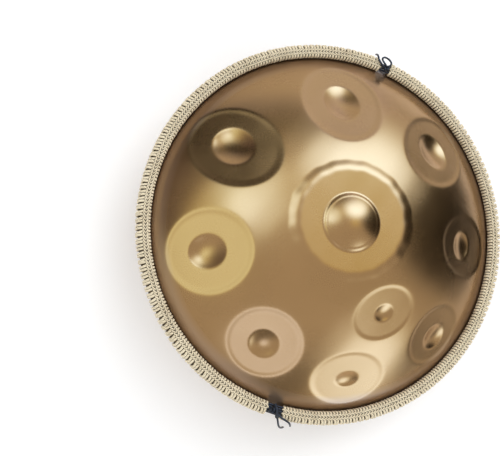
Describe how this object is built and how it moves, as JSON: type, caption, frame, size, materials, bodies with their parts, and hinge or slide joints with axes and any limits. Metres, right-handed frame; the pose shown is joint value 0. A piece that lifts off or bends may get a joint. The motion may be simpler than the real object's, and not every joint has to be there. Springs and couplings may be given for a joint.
{
  "type": "handpan",
  "caption": "Tuned steel pan of two domed shells glued at the rim, with a raised centre note, a ring of dimpled note fields, a sound port below and a woven cord trim.",
  "frame": {"origin": "centre of the flat ring round the sound port, which the pan rests on, on the pan's axis", "axes": "+Z up along the pan's axis with the raised centre note on top; +Y towards the side with the bow, +X to the right when looking down with +Y up"},
  "size_m": [0.5809, 0.5836, 0.235],
  "materials": {
    "bronze_steel": "satin",
    "adhesive": "matte",
    "cream_cord": "woven",
    "core_cord": "matte",
    "dark_cord": "satin"
  },
  "bodies": {
    "root": {"top_shell": "bronze_steel", "bottom_shell": "bronze_steel", "flange_adhesive": "adhesive", "left_trim_cover": "cream_cord", "left_trim_core": "core_cord", "right_trim_cover": "cream_cord", "right_trim_core": "core_cord", "upper_tie_lacing": "dark_cord", "upper_tie_knot": "dark_cord", "upper_tie_bow": "dark_cord", "upper_tie_end": "dark_cord", "lower_tie_lacing": "dark_cord", "lower_tie_wrap": "dark_cord", "lower_tie_knot": "dark_cord", "lower_tie_end_long": "dark_cord", "lower_tie_end_short": "dark_cord"}
  },
  "joints": []
}
